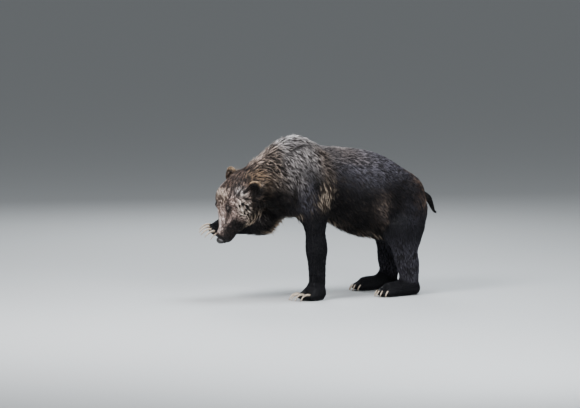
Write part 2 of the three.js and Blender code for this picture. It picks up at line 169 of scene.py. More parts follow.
def ball(centre, radii, turn=np.eye(3), rings=10, sides=14):
    """A closed ellipsoid as (points, triangles)."""
    t = np.linspace(0, np.pi, rings + 1)[1:-1]
    a = np.linspace(0, 2 * np.pi, sides, endpoint=False)
    body = np.array([[np.sin(u) * np.cos(v), np.sin(u) * np.sin(v), np.cos(u)] for u in t for v in a])
    p = np.vstack([body, [[0, 0, 1], [0, 0, -1]]]) * radii @ np.asarray(turn).T + centre
    f = []
    n = len(t)
    for i in range(n - 1):
        for j in range(sides):
            k = (j + 1) % sides
            a0, b0, a1, b1 = i * sides + j, i * sides + k, (i + 1) * sides + j, (i + 1) * sides + k
            f += [(a0, a1, b1), (a0, b1, b0)]
    for j in range(sides):
        k = (j + 1) % sides
        f += [(n * sides, j, k), (n * sides + 1, (n - 1) * sides + k, (n - 1) * sides + j)]
    return p, np.array(f)


def joined(parts):
    co, tri, start = [], [], 0
    for c, t in parts:
        co.append(c)
        tri.append(t + start)
        start += len(c)
    return np.vstack(co), np.vstack(tri)


def remeshed(name, parts, voxel):
    co, tri = joined(parts)
    ob = show(name, mesh_from(name, co, tri))
    mod = ob.modifiers.new("remesh", "REMESH")
    mod.mode, mod.voxel_size, mod.adaptivity = "VOXEL", voxel, 0
    me = with_modifiers(ob)
    bpy.data.objects.remove(ob)
    return me


def tree_of(points):
    tree = KDTree(len(points))
    for i, p in enumerate(points.tolist()):
        tree.insert(p, i)
    tree.balance()
    return tree


def nearest(points, tree):
    """For each point, which of those in the tree is nearest."""
    return np.array([tree.find(p)[1] for p in points.tolist()])


def edges_of(me):
    e = np.empty(len(me.edges) * 2, np.int32)
    me.edges.foreach_get("vertices", e)
    return e.reshape(-1, 2)


class Spread:
    """Averages over neighbours on a mesh."""

    def __init__(self, me):
        self.e = edges_of(me)
        self.n = len(me.vertices)
        self.count = np.maximum(np.bincount(self.e.ravel(), minlength=self.n), 1)

    def mean(self, x):
        out = np.empty_like(x)
        for k in range(x.shape[1]):
            out[:, k] = np.bincount(self.e[:, 0], x[self.e[:, 1], k], self.n)
            out[:, k] += np.bincount(self.e[:, 1], x[self.e[:, 0], k], self.n)
        return out / self.count[:, None]

    def soften(self, x, rounds, weight=0.6):
        """rounds may differ from vertex to vertex."""
        x = x.copy() if x.ndim > 1 else x[:, None].copy()
        rounds = np.broadcast_to(rounds, (self.n,))
        for i in range(int(np.ceil(rounds.max()))):
            share = np.clip(rounds - i, 0, 1)[:, None] * weight
            x += (self.mean(x) - x) * share
        return x


def normals_of(co, tri):
    a, b, c = (co[tri[:, i]] for i in range(3))
    face = np.cross(b - a, c - a)
    out = np.zeros_like(co)
    for k in range(3):
        for i in range(3):
            out[:, k] += np.bincount(tri[:, i], face[:, k], len(co))
    return unit(out)


# ---------------------------------------------------------------- skin

flesh, owner = [], []
for name in REGIONS:
    co, tri = arrays(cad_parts[name].data)
    flesh.append((co, tri))
    owner += [REGION[name]] * len(tri)
flesh_co, flesh_tri = joined(flesh)
flesh_tree = BVHTree.FromPolygons([Vector(c) for c in flesh_co], flesh_tri.tolist())
owner = np.array(owner)

TOE_BALLS = (
    (0.004, 0.0255, (0.019, 0.0128, 0.0165)),
    (0.034, 0.033, (0.027, 0.0135, 0.0195)),
)  # the tip and the knuckle: how far back from the toe's end, how high, radii
TOE_BACK = 0.055  # how far short of the foot's length the middle toe ends
TOE_ARC = 0.007  # how much further back the toes beside it end
TOES_ACROSS = 5.3


def toe_balls():
    """The tips and knuckles of the toes."""
    made = []
    for at, turn, length, width in FEET.values():
        r = turned(*turn)
        at = np.array(at) + SHIFT
        for toe in range(-2, 3):
            reach = length - TOE_BACK - TOE_ARC * toe * toe
            y = toe * width / TOES_ACROSS
            for back, z, size in TOE_BALLS:
                c = np.array([reach - back, y * (1 - back * 2), z])
                made.append(ball(c @ r.T + at, size, r, 8, 12))
    return made


VOXEL = 0.0058  # cell of the skin's mesh
EAR_SWELL = 0.0016
for name in EARS:  # thin enough to be lost between the cells of the new mesh otherwise
    c, t = flesh[REGION[name]]
    flesh[REGION[name]] = (c + normals_of(c, t) * EAR_SWELL, t)
skin_mesh = remeshed("skin", flesh + toe_balls(), VOXEL)
co, tri = arrays(skin_mesh)


# How much each point of the skin belongs to each region.
spread = Spread(skin_mesh)
face_under = np.array([flesh_tree.find_nearest(p)[2] for p in co.tolist()])
W = np.zeros((len(co), len(REGIONS)))
W[np.arange(len(co)), owner[face_under]] = 1
W = spread.soften(W, 10, 0.7)


def part(w, *names):
    return sum(w[:, REGION[n]] for n in names)


paws = part(W, *[f"paw_{n}" for n in LEGS])
# The facets are rounded off, over a longer reach on the broad parts than on the fine ones.
reach = (
    0.036 * part(W, "trunk")
    + 0.028 * part(W, "neck")
    + 0.014 * part(W, "head", "lower_jaw")
    + 0.0045 * part(W, "ear_left", "ear_right")
    + 0.02 * part(W, *[f"leg_{n}" for n in LEGS])
    + 0.01 * part(W, "tail")
    + 0.008 * paws
)
rounds = (reach / VOXEL) ** 2 * 1.6
smooth = spread.soften(co, rounds)
for share in (1.2, 0.7, 0.4):  # gives back what smoothing took from the broad forms
    normal = normals_of(smooth, tri)
    lost = ((co - smooth) * normal).sum(1)
    smooth += normal * spread.soften(lost, rounds * share)
normal = normals_of(smooth, tri)

# How deep the skin lies inside the solids, next to nothing under the feet.
sole = np.zeros(len(co))
for name, (at, turn, _, _) in FEET.items():
    local = (smooth - np.array(at) - SHIFT) @ turned(*turn)
    sole = np.maximum(sole, W[:, REGION[f"paw_{name}"]] * (1 - ramp(local[:, 2], 0.004, 0.02)))
depth = (
    0.0095 * part(W, "trunk")
    + 0.011 * part(W, "neck")
    + 0.0045 * part(W, "head", "lower_jaw")
    + 0.0015 * part(W, "ear_left", "ear_right")
    + 0.0055 * part(W, *[f"leg_{n}" for n in LEGS])
    + 0.004 * part(W, "tail")
    + 0.0025 * paws
)
# The belly's hair is longer.
depth += 0.012 * part(W, "trunk") * ramp(-normal[:, 2], 0.4, 0.85) * bell(smooth[:, 0] - SHIFT[0], 0.02, 0.2)
depth *= 1 - sole
depth = spread.soften(depth, 6)[:, 0]
co = smooth - normal * depth[:, None]
co[:, 2] = np.maximum(co[:, 2], 0.0)
move_to(skin_mesh, co)
coarse = co

# ---------------------------------------------------------------- finer faces on the head

EYE_NODES = {1: "eye_left", -1: "eye_right"}
EYES = {}
for side, name in EYE_NODES.items():
    low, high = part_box(name)
    EYES[side] = (np.array(low) + np.array(high)) / 2
EYE_RADIUS = 0.0118
EYE_SINK = 0.0036
SLIT_HALF = 0.0118  # half the length of the opening between the lids
UPPER_LID = 0.0056  # how far the opening reaches over its middle line
LOWER_LID = 0.0049
LID_THICKNESS = 0.0016


def eye_axes(side):
    out = head_way([0.34, side * 0.68, 0.65])
    fore = unit(head_way([0.95, 0, -0.3]) - out * (head_way([0.95, 0, -0.3]) @ out))
    up = np.cross(out, fore) * side
    return fore, up, out


def eye_place(side):
    return EYES[side] - eye_axes(side)[2] * EYE_SINK


def centres(bm):
    return np.array([f.calc_center_median() for f in bm.faces])


def refine(bm, test):
    bm.faces.ensure_lookup_table()
    hit = test(centres(bm))
    edges = {e for f, h in zip(bm.faces, hit) if h for e in f.edges}
    bmesh.ops.subdivide_edges(bm, edges=list(edges), cuts=1, use_grid_fill=True)


def near_head(c):
    q = to_head(c)
    return (q[:, 0] > 0.02) & (np.abs(q[:, 1]) < 0.2) & (q[:, 2] > -0.3) & (q[:, 2] < 0.05)


def near_features(c):
    q = to_head(c)
    face = (q[:, 0] > 0.225) & (np.abs(q[:, 1]) < 0.11) & (q[:, 2] > -0.24) & (q[:, 2] < 0.0)
    eyes = np.min([np.linalg.norm(c - EYES[s], axis=1) for s in (1, -1)], axis=0) < 0.045
    return (face & (np.abs(q[:, 2] + 0.148) < 0.022)) | eyes | (q[:, 0] > 0.36)


def near_eyes(c):
    return np.min([np.linalg.norm(c - EYES[s], axis=1) for s in (1, -1)], axis=0) < 0.026


bm = bmesh.new()
bm.from_mesh(skin_mesh)
for test in (near_head, near_features, near_eyes):
    refine(bm, test)
bmesh.ops.triangulate(bm, faces=[f for f in bm.faces if len(f.verts) > 4])
bm.to_mesh(skin_mesh)
bm.free()
co, tri = arrays(skin_mesh)
spread = Spread(skin_mesh)
W = spread.soften(W[nearest(co, tree_of(coarse))], 4)
on_head = part(W, "head", "lower_jaw")
co = spread.soften(co, 2.5 * on_head, 0.5)

# ---------------------------------------------------------------- the face

MOUTH_BACK = 0.238
MOUTH_FRONT = 0.4


def lip_line(x):
    """Height of the mouth's line at a distance towards the nose."""
    t = np.clip((x - MOUTH_BACK) / (MOUTH_FRONT - MOUTH_BACK), 0, 1)
    return -0.154 + 0.004 * np.sin(t * np.pi) + 0.017 * t**2.4


q = to_head(co)
normal = normals_of(co, tri)
lip_gap = q[:, 2] - lip_line(q[:, 0])
in_mouth = ramp(q[:, 0], MOUTH_BACK - 0.004, MOUTH_BACK + 0.014) * (1 - ramp(q[:, 0], 0.405, 0.42)) * on_head
push = -0.0062 * bell(lip_gap, 0, 0.0026)
push += 0.0026 * bell(lip_gap, 0.0085, 0.006)
push += 0.0012 * bell(lip_gap, -0.0075, 0.005)
co += normal * (push * in_mouth)[:, None]

# The groove between the eyes, the crease behind the lips and the swell of the upper lip.
q = to_head(co)
side = np.abs(q[:, 1])
push = -0.004 * bell(q[:, 1], 0, 0.016) * bell(q[:, 0], 0.2, 0.05) * ramp(q[:, 2], -0.1, -0.06)
push -= 0.0035 * bell(q[:, 0], 0.235 + 0.25 * (q[:, 2] + 0.1), 0.014) * bell(q[:, 2], -0.115, 0.03)
push += 0.003 * bell(q[:, 0], 0.3, 0.03) * bell(q[:, 2], -0.12, 0.03) * ramp(side, 0.02, 0.04)
co += normal * (push * on_head)[:, None]

# The hollow where the neck meets the shoulder, and the furrow on each side of the hump's ridge.
fx = co[:, 0] - SHIFT[0]
hollow = bell(fx, 0.485 + 0.12 * (co[:, 2] - 0.66), 0.026) * bell(co[:, 2], 0.66, 0.12) * (1 - on_head)
parted = bell(np.abs(co[:, 1]), 0.09, 0.018) * bell(fx, 0.42, 0.12) * ramp(co[:, 2], 0.75, 0.85)
co -= normal * (0.009 * hollow + 0.009 * parted)[:, None]

for s in (1, -1):
    fore, up, out = eye_axes(s)
    middle = eye_place(s)
    d = co - middle
    a, b, c = d @ fore, d @ up, d @ out
    near = (np.linalg.norm(d, axis=1) < 0.04) & (c > -0.02)
    a = a - 0.0005
    b = b + 0.12 * a  # the inner corner lies lower
    half = np.clip(1 - (a / SLIT_HALF) ** 2, 0, 1)
    upper = UPPER_LID * half**0.75 + 0.0002
    lower = -LOWER_LID * half - 0.0002
    outside = np.maximum(np.maximum(b - upper, lower - b), (np.abs(a) - SLIT_HALF) * 0.9)
    flat = np.clip(a**2 + b**2, 0, (EYE_RADIUS * 0.98) ** 2)
    ball_top = np.sqrt(np.maximum(EYE_RADIUS**2 - flat, 0))
    thick = LID_THICKNESS + 0.0012 * bell(outside, 0.002, 0.0025)
    lid = np.sqrt(np.maximum((EYE_RADIUS + thick) ** 2 - flat, 0))
    share = 1 - ramp(outside, 0.0015, 0.014)
    raised = c + (np.maximum(lid, 0.0) - c) * share
    inside = ball_top - 0.0035
    # A crease above the upper lid and a fold under the lower one.
    crease = -0.0016 * bell(b - upper, 0.0075, 0.002) * half - 0.0011 * bell(lower - b, 0.006, 0.002) * half
    target = np.where(outside < 0.0, inside, raised + crease)
    move = (target - c) * near
    co += out * move[:, None]

co[:, 2] = np.maximum(co[:, 2], 0.0)
move_to(skin_mesh, co)
skin_mesh.update()
normal = normals_of(co, tri)

skin = show("skin", skin_mesh)
bpy.context.view_layer.objects.active = skin
skin.select_set(True)
bpy.ops.object.mode_set(mode="EDIT")
bpy.ops.mesh.select_all(action="SELECT")
bpy.ops.uv.smart_project(angle_limit=np.radians(75), island_margin=0.002, scale_to_bounds=False)
bpy.ops.object.mode_set(mode="OBJECT")
skin.select_set(False)
skin_mesh.uv_layers[0].name = "OFBake"
shade_smooth(skin_mesh)

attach(skin, "root")
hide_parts(*REGIONS)

# ---------------------------------------------------------------- what the coat is like, place by place

x, y, z = co.T
q = to_head(co)
qx, qy, qz = q.T
face = part(W, "head")
jaw = part(W, "lower_jaw")
ears = part(W, "ear_left", "ear_right")
neck = part(W, "neck")
tail = part(W, "tail")
legs = part(W, *[f"leg_{n}" for n in LEGS])
paws = part(W, *[f"paw_{n}" for n in LEGS])
raised = W[:, REGION["leg_front_right"]]
hind = part(W, "leg_hind_left", "leg_hind_right")
fx = x - SHIFT[0]  # along the body in the drawing's measure

up_on_leg = ramp(z, 0.42, 0.62)  # where a leg is still shoulder or haunch
shank = legs * (1 - up_on_leg)
shank = np.where(raised > 0.3, raised * ramp(fx, 0.52, 0.6), shank)
body = np.clip(1 - face - jaw - ears - paws - shank - tail, 0, 1)
body_or_leg = np.clip(body + legs, 0, 1)
upward = normal[:, 2]
wide = np.abs(qy)  # how far out to a side of the head
ahead = qx + 0.011 * Wobble(0.035, 13)(co)  # towards the nose, with the uneven edges of a real marking
hump = body * bell(fx, 0.4, 0.13) * ramp(z, 0.8, 0.95)
# The top line of the back. Its coat is painted pale where it faces up, as the highlight of the lit top.
ridge = body * bell(y, 0.0, 0.036) * ramp(upward, 0.4, 0.8)
curls = ridge * bell(fx, 0.4, 0.15)
# Below the curls of the hump's ridge: the hair is shorter here, and its coat is a painted shadow.
shaded_parting = body * bell(np.abs(y), 0.09, 0.02) * bell(fx, 0.42, 0.13) * ramp(upward, 0.1, 0.4)
out_wide = ramp(np.abs(y), 0.06, 0.11)
# Painted shade in the crease where the neck meets the shoulder, and in the armpit.
shaded_furrow = body * bell(fx, 0.485 + 0.12 * (z - 0.66), 0.02) * bell(z, 0.66, 0.13) * out_wide
shaded_armpit = body * bell(fx, 0.365, 0.022) * bell(z, 0.715, 0.035) * out_wide
gold = np.clip(body + face, 0, 1) * bell(fx, 0.705, 0.055) * bell(z, 0.76, 0.055)
gold *= ramp(np.abs(y), 0.03, 0.08)
# The tawny fringe under the far arm: tawny hair, painted bright as if lit from behind through the hair.
backlit_arm_fringe = body_or_leg * (y < 0) * bell(fx + 0.87 * (z - 0.45), 0.432, 0.03)
backlit_arm_fringe *= bell(z, 0.46, 0.08)
backlit_arm_fringe *= ramp(-upward, 0.2, 0.6)
# Painted sheen on the upper arm: a smooth bluish-grey reflection on the wet coat.
upper_arm_sheen = body * bell(fx, 0.42, 0.055) * bell(z, 0.63, 0.1) * out_wide
# A painted highlight on the front of the thigh, brown with paler strands.
thigh_highlight = body_or_leg * bell(fx, -0.1, 0.05) * bell(z, 0.56, 0.08) * out_wide
mane = body * ramp(fx, 0.38, 0.55)
head_hair = face + jaw
back_and_down = -0.349 * qx + 0.575 * wide - 0.739 * qz  # away from the nose, outwards and down
back_of_cheek = ramp(back_and_down, 0.09, 0.116)  # where face turns into neck
# Painted shade under the ear.
shade_under_ear = head_hair * bell(qx, 0.105, 0.03) * bell(qz, -0.11, 0.03) * ramp(wide, 0.09, 0.11)
cheek = head_hair * bell(qx, 0.175, 0.065) * ramp(wide, 0.09, 0.12) * (1 - 0.6 * back_of_cheek)
jowl = head_hair * ramp(0.25 - qx, 0.0, 0.06) * ramp(-qz, 0.12, 0.17)
poll = np.clip((face + neck) * ramp(0.08 - qx, 0.0, 0.06) * ramp(qz, -0.14, -0.06), 0, 1)
muzzle = head_hair * ramp(qx, 0.22, 0.29)
crown = face * ramp(0.145 - ahead, 0.0, 0.04) * ramp(qz, -0.13, -0.07)
# The bridge: pale fur along the top of the face; on the far side the pale reaches further out, painted light
# where the light falls.
bridge = face * (1 - ramp(np.where(qy < 0, 0.6 * wide, wide), 0.036, 0.054)) * ramp(qz, -0.115, -0.08)
# A painted highlight on the top of the muzzle, over pale fur.
lit_muzzle_top = face * (1 - ramp(wide, 0.028, 0.044)) * ramp(qx, 0.25, 0.3) * (1 - ramp(qx, 0.365, 0.385))
brow = bridge * ramp(ahead, 0.112, 0.155) * (1 - ramp(ahead, 0.17, 0.21))
# The dark band from the eye down the side of the bridge: partly dark fur, partly painted shade on the side
# turned from the light.
band_at = 0.058 - 0.03 * ramp(qx, 0.22, 0.34)  # how far from the middle the dark band runs
band_of_fur_and_shade = head_hair * bell(np.where(qy < 0, 0.7 * wide, wide), band_at, 0.011)
band_of_fur_and_shade *= ramp(qx, 0.07, 0.14)
band_of_fur_and_shade *= ramp(qz, -0.1, -0.06)
far_brow = face * (1 - brow) * bell(qx, 0.165, 0.045) * bell(qy, -0.07, 0.03) * ramp(qz, -0.14, -0.08)
temple = face * bell(qx, 0.112, 0.028) * bell(wide, 0.1, 0.024) * ramp(qz, -0.1, -0.05)
lips = head_hair * np.maximum(ramp(qx, 0.235, 0.275) * ramp(-qz, 0.062, 0.088), ramp(qx, 0.37, 0.385))
jaw_edge = head_hair * bell(back_and_down + 0.9 * qx, 0.322, 0.024)
jaw_edge *= ramp(qx, 0.11, 0.16) * (1 - ramp(qx, 0.3, 0.33))
under = body * ramp(-upward, 0.35, 0.85)  # belly and chest
chest = under * ramp(fx, 0.3, 0.42)
elbow = body * bell(fx + 0.25 * (z - 0.665), 0.295, 0.06) * bell(z, 0.655, 0.07) * (y > 0)
far_chest = body * bell(fx, 0.385, 0.04) * bell(z, 0.46, 0.04) * ramp(-y, 0.0, 0.1)
rump = body * ramp(-fx, 0.27, 0.44)
# Painted sheen on the haunch and the lower hind leg: a bluish light on the wet coat.
haunch_sheen = body_or_leg * bell(fx, -0.33, 0.1) * bell(z, 0.5, 0.12) * out_wide
lower_hind_sheen = hind * shank * (1 - ramp(z, 0.26, 0.42))
belly_tufts = body * ramp(-upward, 0.4, 0.8) * bell(fx, 0.17, 0.05) * bell(z, 0.45, 0.04)

# Lie of the coat: one direction at each point of the skin.
sideways = np.tanh(y / 0.03)
lie = np.zeros_like(co)


def ways(forward, left, up):
    """A direction for each point of the skin, from numbers or from one value a point."""
    return np.stack([np.broadcast_to(v, len(co)) for v in (forward, left, up)], 1)


def lay(weight, direction):
    lie[:] += weight[:, None] * unit(direction)


down = np.array([0, 0, -1.0])
spine = bell(normal[:, 2], 1, 0.45)
flank_way = ways(-0.62, 0.0, -0.78)
back_way = ways(-1.0, 0.45 * sideways, -0.1)
trunk_way = flank_way * (1 - spine)[:, None] + back_way * spine[:, None]
trunk_way += ramp(-fx, 0.3, 0.5)[:, None] * np.array([0.25, 0, -0.5])
trunk_way = trunk_way * (1 - under)[:, None] + np.array([-0.85, 0, -0.35]) * under[:, None]
hump_way = ways(-0.42, 0.75 * sideways * spine, -0.8)
neck_way = ways(-0.68, 0.6 * sideways * spine, -0.68 + 0.3 * spine)
nape = ramp(fx, 0.6, 0.7)[:, None]
neck_way = neck_way * (1 - nape) + np.array([-0.9, 0, 0.22]) * nape
fore = ramp(fx, 0.2, 0.34) * ramp(z, 0.5, 0.75)
trunk_way = trunk_way * (1 - fore)[:, None] + hump_way * fore[:, None]
lay(body * (1 - neck), trunk_way)
lay(neck, neck_way)
lay(2.0 * elbow, ways(-0.1, 0, -1.0))
lay(4.0 * body * bell(y, 0, 0.055) * bell(fx, 0.42, 0.16), ways(-1.0, 0, -0.1))
leg_way = ways(-0.16, 0, -1)
arm_way = ways(0.9, -0.05, -0.62)
leg_way = np.where((raised > 0.3)[:, None] & (fx > 0.5)[:, None], arm_way, leg_way)
lay(shank, leg_way)
lay(tail, ways(-0.6, 0, -0.8))
for name, (_, turn, _, _) in FEET.items():
    lay(W[:, REGION[f"paw_{name}"]], ways(*turned(*turn) @ np.array([0.9, 0, -0.45])))

# On the face the hair runs back from the nose, out over the cheeks, and hangs there.
face_local = ways(-1.0, 2.2 * qy * ramp(qx, 0.1, 0.3), 0.25 * ramp(qz, -0.15, -0.07))
face_local[:, 2] -= 0.55 * ramp(0.26 - qx, 0, 0.1) * ramp(-qz, 0.09, 0.16)
face_way = unit(face_local) @ HEAD_TURN.T
cheek_way = unit(ways(-0.35, 0, -0.6)) @ HEAD_TURN.T * 0.3 + down
hang = np.clip(cheek + jowl + jaw_edge, 0, 1)[:, None]
over_way = ways(0.1, 0.5 * np.sign(qy), -0.85) @ HEAD_TURN.T  # back towards the neck
face_way = face_way * (1 - hang) + cheek_way * hang + over_way * 3.2 * hang * (1 - hang)
lay(head_hair, face_way)
ear_rim = np.zeros(len(co))
ear_inside_hair_and_shade = np.zeros(len(co))
for name, (at, tip, opening) in EARS.items():
    w = ramp(W[:, REGION[name]], 0.1, 0.6)
    tip = unit(tip)
    opening = unit(np.array(opening) - tip * (tip @ np.array(opening)))
    e = (q - np.array(at)) @ np.stack([opening, np.cross(tip, opening), tip], 1)
    # The hollow is an ellipsoid; what lies on it is the inside of the ear.
    in_hollow = np.linalg.norm((e - EAR_HOLLOW_AT) / EAR_HOLLOW, axis=1)
    inner = ramp(1.18 - in_hollow, 0.0, 0.12) * bell(e[:, 0], 0.0, 0.06) * (np.linalg.norm(e, axis=1) < 0.08)
    ear_inside_hair_and_shade = np.maximum(ear_inside_hair_and_shade, inner)
    around = np.linalg.norm(e[:, 1:] / EAR_RADII[1:], axis=1)
    top_z = (from_head(at) + head_way(tip) * 0.04)[2]
    edge = w * ramp(z, top_z - 0.03, top_z) * ramp(around, 0.62, 0.86) * ramp(e[:, 2], -0.002, 0.03)
    ear_rim = np.maximum(ear_rim, edge)
    lay(w, ways(*head_way(tip)))
ear_rim *= 1 - 0.7 * ear_inside_hair_and_shade
lie = spread.soften(lie, 4)
swirl = Wobble(0.11, 3)(co)[:, None] * 0.3 + Wobble(0.05, 4)(co)[:, None] * 0.16
lie = unit(lie) + np.cross(normal, unit(lie)) * swirl * (body * (1 - elbow) + 0.4 * shank)[:, None]
lie -= normal * (lie * normal).sum(1)[:, None]
lie = unit(lie)

# Length of the hair, breadth of a tuft, how far its tip stands off, breadth of a wet lock and how
# tightly it holds together, how far it waves, and how many tufts there are.
length = (
    body * (0.038 + 0.01 * hump + 0.018 * mane + 0.008 * under + 0.01 * rump)
    + shank * 0.027
    + head_hair * 0.013
    + ears * 0.016
    + tail * 0.034
    + paws * 0.013
)
length += (
    cheek * 0.024
    + jowl * 0.02
    + jaw_edge * 0.028
    + poll * 0.014
    + crown * 0.014
    + brow * 0.014
    + elbow * 0.045
    + chest * 0.012
    + (belly_tufts + under * bell(fx, 0.0, 0.2)) * 0.018
)
length += backlit_arm_fringe * 0.01 + ear_rim * 0.01 + 0.01 * far_brow
length -= muzzle * 0.002 + 0.003 * band_of_fur_and_shade
eye_gap = np.min([np.linalg.norm(co - eye_place(s), axis=1) for s in (1, -1)], axis=0)
length *= 0.42 + 0.58 * ramp(eye_gap, 0.014, 0.05)
length = np.maximum(length * (1 - 0.45 * shaded_parting), 0.0045)
breadth = body * 0.004 + shank * 0.0032 + head_hair * 0.0022 + ears * 0.0021 + tail * 0.004 + paws * 0.0024
breadth += (
    0.0014 * cheek
    + 0.0012 * jowl
    - 0.0012 * mane
    - 0.001 * hump * (1 - mane)
    - 0.001 * elbow
    + 0.0002 * muzzle
)
stand = (
    body * (0.30 + 0.12 * mane + 0.12 * ridge)
    + shank * 0.24
    + head_hair * 0.24
    + ears * 0.3
    + tail * 0.12
    + paws * 0.24
)
stand += (
    0.15 * cheek
    + 0.25 * jowl
    + 0.4 * jaw_edge
    + 0.1 * under
    + 0.1 * elbow
    + 0.9 * brow
    + 0.6 * far_brow
    - 0.12 * muzzle
    + 0.4 * ear_rim
)
lock = (
    body * (0.012 - 0.005 * hump * (1 - mane) - 0.004 * mane + 0.003 * elbow)
    + shank * 0.014
    + head_hair * 0.008
    + ears * 0.006
    + tail * 0.02
    + paws * 0.006
)
lock += 0.004 * curls + 0.006 * cheek + 0.006 * jowl + 0.002 * brow + 0.002 * muzzle
hold = (
    body * (0.55 + 0.2 * mane - 0.1 * hump + 0.1 * under)
    + shank * 0.5
    + head_hair * 0.5
    + tail * 0.7
    + paws * 0.35
    + ears * 0.2
)
hold = hold + 0.3 * curls + 0.5 * cheek + 0.46 * jowl - 0.12 * muzzle + 0.3 * elbow + 0.2 * brow
hold = np.clip(hold, 0, 0.94)
wave = (
    body * (1 - elbow) * (0.0012 + 0.0018 * mane + 0.0006 * hump + 0.004 * curls)
    + 0.0036 * cheek
    + 0.003 * jowl
    + 0.0006 * shank
)
wave += 0.0016 * temple + 0.002 * brow
crowd = body * 1.0 + shank * 1.2 + head_hair * 4.6 + ears * 4.2 + tail * 1.3 + paws * 3.0
room = 1 - 0.6 * cheek - 0.4 * jowl  # fewer tufts where they are long and broad
crowd *= (1 + 0.6 * mane + 0.4 * hump * (1 - mane) + 0.3 * under + 0.4 * muzzle) * room
# How much the tone changes from lock to lock and from tuft to tuft.
vary = (
    0.12
    + 0.2 * head_hair
    + body * (0.26 * mane + 0.22 * hump + 0.1 * elbow)
    + 0.1 * crown
    + 0.25 * muzzle
    + 0.3 * curls
)
# No hair on the nose, in the eyes, along the lips or under the feet.
bare = ramp(qx, 0.383, 0.392) * bell(qz, -0.1, 0.04) * on_head
bare = np.maximum(bare, 1 - ramp(eye_gap, 0.0125, 0.0155))
bare = np.maximum(bare, bell(lip_gap, 0, 0.0045) * in_mouth)
sole = np.zeros(len(co))
for name, (_, turn, _, _) in FEET.items():
    facing = -(normal @ turned(*turn)[:, 2])
    sole = np.maximum(sole, W[:, REGION[f"paw_{name}"]] * ramp(facing, 0.55, 0.8))
bare = np.maximum(bare, sole)
crowd = crowd * (bare < 0.5)

# ---------------------------------------------------------------- markings, with painted sheen, highlights and shade

